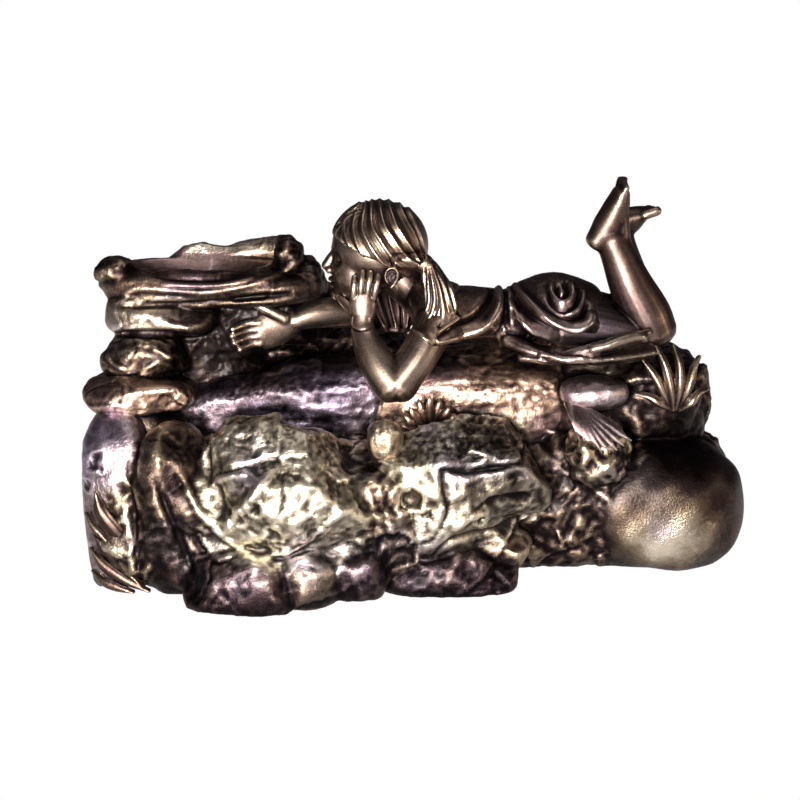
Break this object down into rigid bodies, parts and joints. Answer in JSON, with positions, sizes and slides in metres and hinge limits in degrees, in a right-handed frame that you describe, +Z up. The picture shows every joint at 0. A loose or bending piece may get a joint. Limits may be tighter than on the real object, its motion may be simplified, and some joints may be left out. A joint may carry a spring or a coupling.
{
  "type": "garden fountain figure group",
  "caption": "Cast fountain: a girl lying on a bank of rocks beside a stepped cascade with a bowl on top and a pool below.",
  "frame": {"origin": "middle of the flat underside of the rockwork, on the ground", "axes": "+X along the length, from the cascade to the girl's feet; +Y from the pool to the back; +Z up. The girl's head is towards -X and her left side towards -Y"},
  "size_m": [1.1919, 0.5197, 0.6867],
  "materials": {
    "bronze": "dark brown bronze patina rubbed to gold on the high places"
  },
  "bodies": {
    "root": {"fountain": "bronze"}
  },
  "joints": []
}
